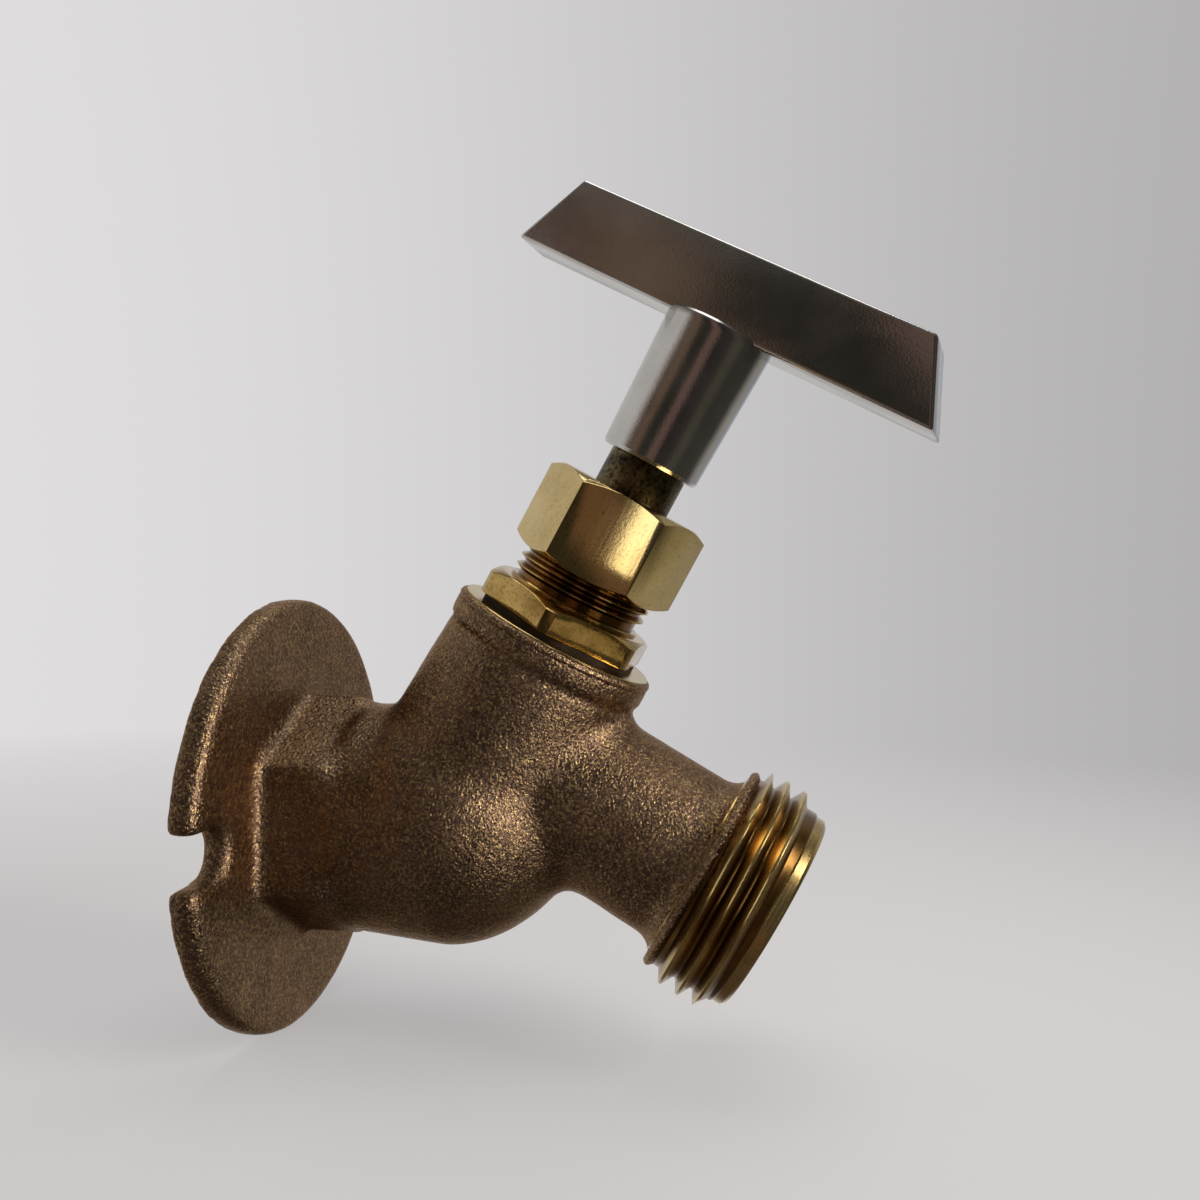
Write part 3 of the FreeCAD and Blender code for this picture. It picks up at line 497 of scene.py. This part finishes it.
def makeCasting(sizes):
    # The body's cast skin: a copy of the solid, cut back at its machined ends and softened as sand casting leaves it
    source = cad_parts["valve_body"]
    casting = bpy.data.objects.new("casting", source.data.copy())
    bpy.context.scene.collection.objects.link(casting)
    closeMesh(casting)
    inner = sizes["grooveRadius"]
    outer = sizes["grooveOut"]
    groove = turnRound("groove", [
        (inner, sizes["grooveFoot"]), (outer, sizes["grooveFoot"] - sizes["grooveSlope"]),
        (outer, sizes["grooveTop"]), (inner, sizes["grooveTop"]), (inner, sizes["grooveFoot"])])
    stand(groove, stemFoot, lean)
    carve(casting, groove, "DIFFERENCE")
    pick(casting)
    bpy.ops.object.mode_set(mode="EDIT")
    machinedEnds = ((stemFoot, stemWay, sizes["rimCut"]), (outletFoot, outletWay, sizes["hoseCut"]))
    for foot, way, reach in machinedEnds:
        bpy.ops.mesh.select_all(action="SELECT")
        bpy.ops.mesh.bisect(plane_co=foot + way * reach * mm, plane_no=way, clear_outer=True, use_fill=True)
    bpy.ops.object.mode_set(mode="OBJECT")
    skin = casting.modifiers.new("skin", "REMESH")
    skin.mode = "VOXEL"
    skin.voxel_size = sizes["grid"] * mm
    skin.use_smooth_shade = True
    applyModifier(casting, skin)
    melt = casting.modifiers.new("melt", "SMOOTH")
    melt.factor = sizes["meltShare"]
    melt.iterations = sizes["skinMelt"]
    applyModifier(casting, melt)
    root = casting.vertex_groups.new(name="root")
    for vertex in casting.data.vertices:
        along = (vertex.co - outletFoot).dot(outletWay) / mm
        upStem = (vertex.co - stemFoot).dot(stemWay) / mm
        share = 1 - abs(along - sizes["rootAt"]) / sizes["rootReach"]
        if share > 0 and upStem < sizes["grooveFoot"] - sizes["rootGap"]:
            root.add([vertex.index], min(1, share * sizes["rootFade"]), "REPLACE")
    boss = casting.vertex_groups.new(name="boss")
    nearWall = [vertex.index for vertex in casting.data.vertices if vertex.co.x < sizes["bossEnd"] * mm]
    boss.add(nearWall, 1, "REPLACE")
    for region, rounds in (("root", sizes["rootMelt"]), ("boss", sizes["bossMelt"])):
        blend = casting.modifiers.new("blend", "SMOOTH")
        blend.vertex_group = region
        blend.factor = sizes["meltShare"]
        blend.iterations = rounds
        applyModifier(casting, blend)
    clouds = bpy.data.textures.new("sandWaves", "CLOUDS")
    clouds.noise_scale = sizes["waveSize"] * mm
    clouds.noise_depth = sizes["waveDetail"]
    waves = casting.modifiers.new("waves", "DISPLACE")
    waves.texture = clouds
    waves.texture_coords = "LOCAL"
    waves.strength = sizes["waveDepth"] * mm
    waves.mid_level = 1   # so that they only go inwards
    applyModifier(casting, waves)
    pick(casting)
    bpy.ops.object.shade_smooth()
    return casting


casting = makeCasting(castingSizes)
finishPiece(casting, "tap", "cast_bronze", bronze, "valve_body")


# In the outlines of turned pieces, the small steps beside a named size round its edges
rimSizes = {
    "bore": 8.51, "radius": 12.44, "top": 25.62, "bevel": 0.3,
    "faceEdge": 11.9, "faceStand": 0.17, "foot": 24.3, "depth": 1.2,
}


def makeCollarEdge(sizes):
    # The cast edge round the machined face
    outer = sizes["radius"]
    inner = sizes["faceEdge"]
    foot = sizes["foot"]
    top = sizes["top"] - sizes["faceStand"]
    edge = turnRound("collarEdge", [
        (inner - 0.5, top - 0.1), (inner - 0.5, foot), (outer - 0.35, foot), (outer - 0.12, foot + 0.25),
        (outer, foot + 0.6), (outer, top - 0.5), (outer - 0.12, top - 0.2), (outer - 0.4, top),
        (inner - 0.2, top), (inner - 0.5, top - 0.1)])
    smoothShade(edge, angle=50)
    stand(edge, stemFoot, lean)
    return edge


def makeRim(sizes):
    # The bright face that the gasket lies on
    bore = sizes["bore"]
    outer = sizes["faceEdge"]
    top = sizes["top"]
    depth = sizes["depth"]
    bevel = sizes["bevel"]
    rim = turnRound("collarRim", [
        (bore + bevel, top), (bore, top - bevel), (bore, top - depth), (outer - 0.4, top - depth),
        (outer, top - 0.4), (outer, top - 0.07), (outer - 0.07, top), (bore + bevel, top)])
    smoothShade(rim, angle=20)
    stand(rim, stemFoot, lean)
    return rim


finishPiece(makeCollarEdge(rimSizes), "tap", "cast_bronze", bronze)
finishPiece(makeRim(rimSizes), "tap", "machined_brass", turnedBrass)


hoseSizes = {
    "coreStart": 27, "core": 11, "start": 27.5, "root": 12.06, "crest": 13.49, "pitch": 2.2087,
    "firstRidge": 28.9, "turns": 2.7165, "crestWidth": 0.32, "rootWidth": 2.05, "sink": 0.15, "begin": 140,
    "leadStart": 36.0, "lead": 11.8, "end": 37.3, "mouth": 9.4, "mouthDepth": 8, "bore": 7.75, "boreStep": 1.9,
    "round": 0.07, "flange": 12.5, "shoulder": 27.95, "shoulderEnd": 28.43,
}


def makeHoseEnd(sizes):
    # The turned end with the hose thread and the mouth
    core = sizes["core"]
    root = sizes["root"]
    lead = sizes["lead"]
    mouth = sizes["mouth"]
    bore = sizes["bore"]
    end = sizes["end"]
    mouthFloor = end - sizes["mouthDepth"]
    hoseEnd = turnRound("hoseEnd", [
        (core, sizes["coreStart"]), (core, sizes["start"]), (root, sizes["start"] + 0.1),
        (root, sizes["leadStart"] - 0.26), (lead, sizes["leadStart"]), (lead, end - 0.4), (lead - 0.4, end),
        (mouth + 0.3, end), (mouth, end - 0.3), (mouth, mouthFloor), (bore, mouthFloor - sizes["boreStep"]),
        (bore, sizes["coreStart"]), (core, sizes["coreStart"])])
    ridge = woundRidge("hoseRidge", sizes["crest"], root - sizes["sink"], sizes["crestWidth"], sizes["rootWidth"],
                       sizes["pitch"], sizes["firstRidge"], sizes["turns"], sizes["begin"])
    carve(hoseEnd, ridge, "UNION")
    softenEdges(hoseEnd, sizes["round"], angle=28)
    smoothShade(hoseEnd, angle=24)
    stand(hoseEnd, outletFoot, fall)
    return hoseEnd


finishPiece(makeHoseEnd(hoseSizes), "tap", "machined_brass", outletBrass)


def makeHoseShoulder(sizes):
    # The casting's last turned edge, just before the thread
    core = sizes["core"]
    outer = sizes["flange"] + 0.03
    start = sizes["start"]
    end = sizes["shoulderEnd"]
    shoulder = turnRound("hoseShoulder", [
        (core, start - 0.25), (outer - 0.34, start - 0.25), (outer - 0.06, start + 0.03), (outer, start + 0.15),
        (outer, sizes["shoulder"]), (sizes["root"] + 0.03, end), (core, end), (core, start - 0.25)])
    smoothShade(shoulder)
    stand(shoulder, outletFoot, fall)
    return shoulder


finishPiece(makeHoseShoulder(hoseSizes), "tap", "cast_bronze", bronze)


bonnetSizes = {
    "flats": 19.05, "hexFoot": 26.3, "hexTop": 29.52, "turn": 31, "corner": 10.65, "chamfer": 30, "round": 0.12,
    "envelopeBore": 7, "envelopeFoot": 26,
    "bearing": 9.3, "bearingTop": 27, "seat": 26.22, "step": 8.2, "stepTop": 29.92,
    "foot": 18.4, "screw": 8.45, "root": 7.5, "crest": 8.2, "crestWidth": 0.16, "rootWidth": 1.1, "sink": 0.12,
    "pitch": 1.2, "ridgeStart": 30.5, "turns": 4.08, "begin": 80,
    "top": 36.6, "stemBore": 4.74, "stemBoreFoot": 34.9, "screwBore": 5.66, "screwBoreTop": 34,
    "pocket": 7.2, "pocketDepth": 1.6,
}


def makeBonnet(sizes):
    # Hexagon, screw into the body, packing nut's thread and the bores for the stem
    hexagon = hexagonBlock("bonnetHexagon", sizes["flats"], sizes["hexFoot"], sizes["hexTop"] + spare, sizes["turn"])
    flat = sizes["flats"] / 2
    corner = sizes["corner"]
    slope = math.tan(math.radians(sizes["chamfer"]))
    inside = sizes["envelopeBore"]
    below = sizes["envelopeFoot"]
    envelope = turnRound("envelope", [
        (inside, below), (corner, below), (corner, sizes["hexTop"] - (corner - flat + 0.1) * slope),
        (flat - 0.1, sizes["hexTop"]), (inside, sizes["hexTop"]), (inside, below)])
    carve(hexagon, envelope, "INTERSECT")
    softenEdges(hexagon, sizes["round"])
    smoothShade(hexagon, angle=20)
    screw = sizes["screw"]
    step = sizes["step"]
    root = sizes["root"]
    foot = sizes["foot"]
    top = sizes["top"]
    pocketTop = foot + sizes["pocketDepth"]
    core = turnRound("bonnetCore", [
        (screw - 0.5, foot), (screw, foot + 0.5), (screw, sizes["seat"]),
        (sizes["bearing"], sizes["seat"]), (sizes["bearing"], sizes["bearingTop"]), (step, sizes["bearingTop"] + 0.1),
        (step, sizes["stepTop"] - 0.12), (step - 0.12, sizes["stepTop"]), (root, sizes["stepTop"]),
        (root, top - 0.4), (root - 0.4, top), (sizes["stemBore"], top), (sizes["stemBore"], sizes["stemBoreFoot"]),
        (sizes["screwBore"], sizes["screwBoreTop"]), (sizes["screwBore"], pocketTop),
        (sizes["pocket"], pocketTop), (sizes["pocket"], foot), (screw - 0.5, foot)])
    ridge = woundRidge("glandRidge", sizes["crest"], root - sizes["sink"], sizes["crestWidth"], sizes["rootWidth"],
                       sizes["pitch"], sizes["ridgeStart"], sizes["turns"], sizes["begin"])
    carve(core, ridge, "UNION")
    carve(core, hexagon, "UNION")
    core.name = "bonnetTurned"
    smoothShade(core, angle=24)
    stand(core, stemFoot, lean)
    return core


finishPiece(makeBonnet(bonnetSizes), "tap", "machined_brass", hexagonBrass, "bonnet")


nutSizes = {
    "flats": 17.46, "foot": 33.3, "top": 43.58, "turn": 8, "bore": 8.26, "hole": 4.82, "topWall": 1.6,
    "topChamfer": 30, "footChamfer": 28, "round": 0.14,
}


def makeNut(sizes):
    # A hexagon chamfered at both ends, with a roof over the packing
    nut = hexagonBlock("packingNut", sizes["flats"], sizes["foot"] - spare, sizes["top"] + spare, sizes["turn"])
    flat = sizes["flats"] / 2 - 0.1
    outside = overCorners(sizes["flats"]) + 0.3
    topDrop = (outside - flat) * math.tan(math.radians(sizes["topChamfer"]))
    footRise = (outside - flat) * math.tan(math.radians(sizes["footChamfer"]))
    bore = sizes["bore"]
    hole = sizes["hole"]
    foot = sizes["foot"]
    top = sizes["top"]
    roof = top - sizes["topWall"]
    envelope = turnRound("envelope", [
        (bore, foot), (flat, foot), (outside, foot + footRise), (outside, top - topDrop), (flat, top),
        (hole + 0.15, top), (hole, top - 0.15), (hole, roof), (bore, roof), (bore, foot)])
    carve(nut, envelope, "INTERSECT")
    softenEdges(nut, sizes["round"])
    smoothShade(nut, angle=20)
    stand(nut, stemFoot, lean)
    return nut


finishPiece(makeNut(nutSizes), "tap", "machined_brass", drawnBrass, "packing_nut")


keySizes = {
    "longHalf": 27.46, "shortHalf": 22.97, "thick": 7, "barFoot": 64.57, "barHeight": 9.23, "turn": -11.3,
    "round": 0.45, "roundSteps": 4, "hubFoot": 47.83, "hubFootRadius": 6, "hubTopRadius": 6.5, "crown": 0.7,
    "socket": 6.55, "socketEnd": 60.18,
}


def makeKey(sizes):
    # A bar whose ends slope in towards the top, on a hub with a square socket
    clearSelection()
    middle = sizes["barFoot"] + sizes["barHeight"] / 2
    turn = math.radians(sizes["turn"])
    bpy.ops.mesh.primitive_cube_add(size=1, location=(0, 0, middle * mm), rotation=(0, 0, turn))
    bar = bpy.context.object
    bar.name = "teeKey"
    bar.scale = (2 * sizes["longHalf"] * mm, sizes["thick"] * mm, sizes["barHeight"] * mm)
    bpy.ops.object.transform_apply(location=False, rotation=False, scale=True)
    bpy.ops.object.mode_set(mode="EDIT")
    mesh = bmesh.from_edit_mesh(bar.data)
    bpy.ops.mesh.select_all(action="DESELECT")
    for face in mesh.faces:
        face.select = face.normal.z > 0.9   # the top face alone
    mesh.select_flush(True)
    bmesh.update_edit_mesh(bar.data)
    share = sizes["shortHalf"] / sizes["longHalf"]
    bpy.ops.object.mode_set(mode="OBJECT")   # there and back, so that the selection holds
    bpy.ops.object.mode_set(mode="EDIT")
    bpy.ops.transform.resize(value=(share, 1, 1), orient_type="LOCAL", center_override=(0, 0, middle * mm))
    bpy.ops.mesh.select_all(action="SELECT")
    bpy.ops.mesh.bevel(offset=sizes["round"] * mm, segments=sizes["roundSteps"], affect="EDGES")
    bpy.ops.object.mode_set(mode="OBJECT")
    settle(bar)
    barFoot = sizes["barFoot"]
    top = sizes["hubTopRadius"]
    crown = sizes["crown"]
    hub = turnRound("hub", [
        (sizes["hubFootRadius"] - 0.6, sizes["hubFoot"]), (sizes["hubFootRadius"] - 0.25, sizes["hubFoot"] + 0.1),
        (sizes["hubFootRadius"], sizes["hubFoot"] + 0.5), (top - 0.02, barFoot - 0.4), (top, barFoot),
        (top - crown * 0.13, barFoot + crown * 0.5), (top - crown * 0.5, barFoot + crown * 0.87),
        (top - crown, barFoot + crown)])
    carve(bar, hub, "UNION")
    clearSelection()
    depth = sizes["socketEnd"] - sizes["hubFoot"] + spare
    bpy.ops.mesh.primitive_cube_add(
        size=1, location=(0, 0, (sizes["socketEnd"] - depth / 2) * mm), rotation=(0, 0, turn))
    socket = bpy.context.object
    socket.scale = (sizes["socket"] * mm, sizes["socket"] * mm, depth * mm)
    settle(socket)
    carve(bar, socket, "DIFFERENCE")
    smoothShade(bar)
    stand(bar, stemFoot, lean)
    return bar


finishPiece(makeKey(keySizes), "key", "chrome_plate", chrome, "tee_handle")


inletSizes = {
    "wall": 10.4, "sink": 0.2, "crest": 9.55, "crestWidth": 0.25, "rootWidth": 1.5,
    "pitch": 1.814, "start": 1.3, "turns": 5.3,
}


def makeInletThread(sizes):
    # The pipe thread's ridge stands inwards from the inlet's wall
    ridge = woundRidge("inletThread", sizes["crest"], sizes["wall"] + sizes["sink"], sizes["crestWidth"],
                       sizes["rootWidth"], sizes["pitch"], sizes["start"], sizes["turns"])
    smoothShade(ridge, angle=24)
    stand(ridge, (0, 0, 0), math.radians(90))
    return ridge


finishPiece(makeInletThread(inletSizes), "tap", "machined_brass", inletBrass)


# These keep their solids and get their own finish
finishes = {
    "bonnet_gasket": fibre, "packing_washer": turnedBrass, "packing_gland": turnedBrass,
    "lower_packing_ring": packing, "upper_packing_ring": packing, "stem": stemBrass,
    "disc_holder": turnedBrass, "seat_disc": rubber, "disc_screw": turnedBrass,
}
for name, material in finishes.items():
    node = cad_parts[name]
    node.data.materials.clear()
    node.data.materials.append(material)
print("solids dressed")


# Sizes of the stage are in metres
stageSizes = {
    "floorSize": 3, "solidTo": 0.08, "goneBy": 0.32,   # solid round the middle, gone further out
    "glow": 0.37, "rough": 0.9, "shine": 0.1, "colour": (0.34, 0.335, 0.337), "glowColour": (1, 0.985, 0.99),
}


def makeFloor(sizes):
    # Pale floor that keeps the shadow and fades into the backdrop
    clearSelection()
    bpy.ops.mesh.primitive_plane_add(size=sizes["floorSize"], location=(0, 0, layout["floorHeight"] * mm))
    floor = bpy.context.object
    floor.name = "floor"
    material, shader = newMaterial("paleFloor")
    shader.inputs["Base Color"].default_value = (*sizes["colour"], 1)
    shader.inputs["Roughness"].default_value = sizes["rough"]
    shader.inputs["Specular IOR Level"].default_value = sizes["shine"]
    shader.inputs["Emission Color"].default_value = (*sizes["glowColour"], 1)
    rays = addNode(material, "ShaderNodeLightPath")
    glow = rangeOf(material, rays.outputs["Is Camera Ray"], 0, sizes["glow"], 0, 1)
    link(material, glow, shader.inputs["Emission Strength"])
    coords = addNode(material, "ShaderNodeTexCoord")
    far = addNode(material, "ShaderNodeVectorMath", operation="LENGTH")
    link(material, coords.outputs["Object"], far.inputs[0])
    fade = rangeOf(material, far.outputs["Value"], 1, 0, sizes["solidTo"], sizes["goneBy"])
    seen = addNode(material, "ShaderNodeMath", operation="MULTIPLY")
    link(material, fade, seen.inputs[0])
    link(material, rays.outputs["Is Camera Ray"], seen.inputs[1])
    link(material, seen.outputs["Value"], shader.inputs["Alpha"])
    floor.data.materials.append(material)


makeFloor(stageSizes)

worldLook = {
    # The backdrop is paler on the left and darker on the right: painted shade
    "backdrop": (0.74, 0.725, 0.735), "backdropShadedRight": (0.43, 0.42, 0.425),
    "above": (0.14, 0.13, 0.12), "below": (0.10, 0.08, 0.07),
    # Blends run from one to the other of these parts of a direction: sideways, and up or down
    "sideBlend": (-0.7, 0.45), "heightBlend": (0.5, 0.85),
    # What the metal mirrors, by the angle in degrees: 0 is in front, 90 to the right
    "room": [
        (-180, (0.62, 0.61, 0.60)), (-68, (0.66, 0.65, 0.63)), (-56, (0.34, 0.30, 0.27)),
        (-48, (0.11, 0.075, 0.065)), (-38, (0.165, 0.112, 0.078)), (-30, (0.155, 0.103, 0.070)),
        (-22, (0.036, 0.033, 0.028)), (-7, (0.036, 0.033, 0.028)), (-1.5, (0.17, 0.11, 0.09)),
        (8, (0.17, 0.11, 0.09)), (14, (0.032, 0.026, 0.026)), (36, (0.045, 0.042, 0.036)),
        (46, (0.085, 0.078, 0.06)), (56, (0.085, 0.078, 0.06)), (68, (0.05, 0.048, 0.04)),
        (112, (0.06, 0.057, 0.048)), (134, (0.40, 0.38, 0.34)), (155, (0.35, 0.36, 0.39)),
        (172, (0.61, 0.62, 0.66))],
}


def makeWorld(look):
    # The camera sees a pale backdrop, with painted shade that darkens it towards the right. The metal mirrors a
    # studio, pale behind it and darker in front and overhead.
    world = bpy.data.worlds.new("studio")
    bpy.context.scene.world = world
    world.use_nodes = True
    world.node_tree.nodes.clear()
    output = addNode(world, "ShaderNodeOutputWorld")
    coords = addNode(world, "ShaderNodeTexCoord")
    parts = addNode(world, "ShaderNodeSeparateXYZ")
    link(world, coords.outputs["Generated"], parts.inputs["Vector"])

    def blendBy(value, fromLow, fromHigh, low, high):
        share = rangeOf(world, value, 0, 1, fromLow, fromHigh, "SMOOTHSTEP")
        return mixOf(world, share, low, high)

    backdrop = blendBy(parts.outputs["X"], *look["sideBlend"], look["backdrop"], look["backdropShadedRight"])
    forward = addNode(world, "ShaderNodeMath", operation="MULTIPLY")
    forward.inputs[1].default_value = -1
    link(world, parts.outputs["Y"], forward.inputs[0])
    around = addNode(world, "ShaderNodeMath", operation="ARCTAN2")
    link(world, parts.outputs["X"], around.inputs[0])
    link(world, forward.outputs["Value"], around.inputs[1])
    part = rangeOf(world, around.outputs["Value"], 0, 1, -math.pi, math.pi)
    walls = rampOf(world, part, [((angle + 180) / 360, colour) for angle, colour in look["room"]])
    wallEnd, wallGone = look["heightBlend"]
    roofed = blendBy(parts.outputs["Z"], wallEnd, wallGone, walls, look["above"])
    room = blendBy(parts.outputs["Z"], -wallEnd, -wallGone, roofed, look["below"])
    seen = addNode(world, "ShaderNodeBackground")
    link(world, backdrop, seen.inputs["Color"])
    felt = addNode(world, "ShaderNodeBackground")
    link(world, room, felt.inputs["Color"])
    rays = addNode(world, "ShaderNodeLightPath")
    choice = addNode(world, "ShaderNodeMixShader")
    link(world, rays.outputs["Is Camera Ray"], choice.inputs["Fac"])
    link(world, felt.outputs["Background"], choice.inputs[1])
    link(world, seen.outputs["Background"], choice.inputs[2])
    link(world, choice.outputs["Shader"], output.inputs["Surface"])


makeWorld(worldLook)

warm = (1, 0.93, 0.84)
lampSizes = {
    "window": {"place": (0.398, -0.243, -0.120), "wide": 0.14, "tall": 0.15, "watts": 0.42, "tint": warm},
    "side": {"place": (0.450, -0.130, 0.090), "wide": 0.12, "tall": 0.12, "watts": 0.78, "tint": warm},
    "high": {"place": (0.420, -0.109, 0.220), "wide": 0.18, "tall": 0.18, "watts": 0.8, "tint": warm},
    "strip": {
        "place": (0.0722, -0.142, 0.034), "wide": 0.013, "tall": 0.11, "watts": 0.0105, "tint": white, "turn": -28},
    "low": {"place": (0.199, -0.158, -0.100), "wide": 0.10, "tall": 0.10, "watts": 0.0105, "tint": (1, 0.89, 0.70)},
    "top": {"place": (0.06, 0.10, 0.50), "wide": 0.35, "tall": 0.35, "watts": 0.8, "tint": white},
}
aim = Vector((0.035, 0, 0.015))   # every lamp faces this point
for name, lamp in lampSizes.items():
    light = bpy.data.lights.new(name + "Lamp", "AREA")
    light.energy = lamp["watts"]
    light.color = lamp["tint"]
    light.shape = "RECTANGLE"
    light.size = lamp["wide"]
    light.size_y = lamp["tall"]
    lampObject = bpy.data.objects.new(name + "Lamp", light)
    bpy.context.scene.collection.objects.link(lampObject)
    lampObject.location = lamp["place"]
    lampObject.rotation_euler = (aim - Vector(lamp["place"])).to_track_quat("-Z", "Y").to_euler()
    lampObject.rotation_euler.rotate_axis("Z", math.radians(lamp.get("turn", 0)))

# These bright pieces mirror the room, without the lamps that light the casting and the nut
polished = bpy.data.collections.new("polished")
for piece in (bpy.data.objects["teeKey"], bpy.data.objects["bonnetTurned"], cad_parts["stem"]):
    polished.objects.link(piece)
for member in polished.collection_objects:
    member.light_linking.link_state = "EXCLUDE"
for name in ("window", "side", "high", "strip"):
    bpy.data.objects[name + "Lamp"].light_linking.receiver_collection = polished
facets = bpy.data.collections.new("facets")   # the low lamp lights the bonnet alone
facets.objects.link(bpy.data.objects["bonnetTurned"])
bpy.data.objects["lowLamp"].light_linking.receiver_collection = facets

# Place and reach are in metres, lens and sensor in millimetres
cameraSizes = {
    "place": (0.066857, -0.136299, 0.027856), "turn": (89.4686, -0.8510, 11.1972),
    "lens": 35.751, "sensor": 36, "nearest": 0.005, "farthest": 20,
}
cameraData = bpy.data.cameras.new("photoCamera")
camera = bpy.data.objects.new("photoCamera", cameraData)
bpy.context.scene.collection.objects.link(camera)
camera.location = cameraSizes["place"]
camera.rotation_euler = [math.radians(angle) for angle in cameraSizes["turn"]]
cameraData.lens = cameraSizes["lens"]
cameraData.sensor_width = cameraSizes["sensor"]
cameraData.clip_start = cameraSizes["nearest"]
cameraData.clip_end = cameraSizes["farthest"]
bpy.context.scene.camera = camera
bpy.context.scene.view_settings.view_transform = "Standard"
print("stage ready")
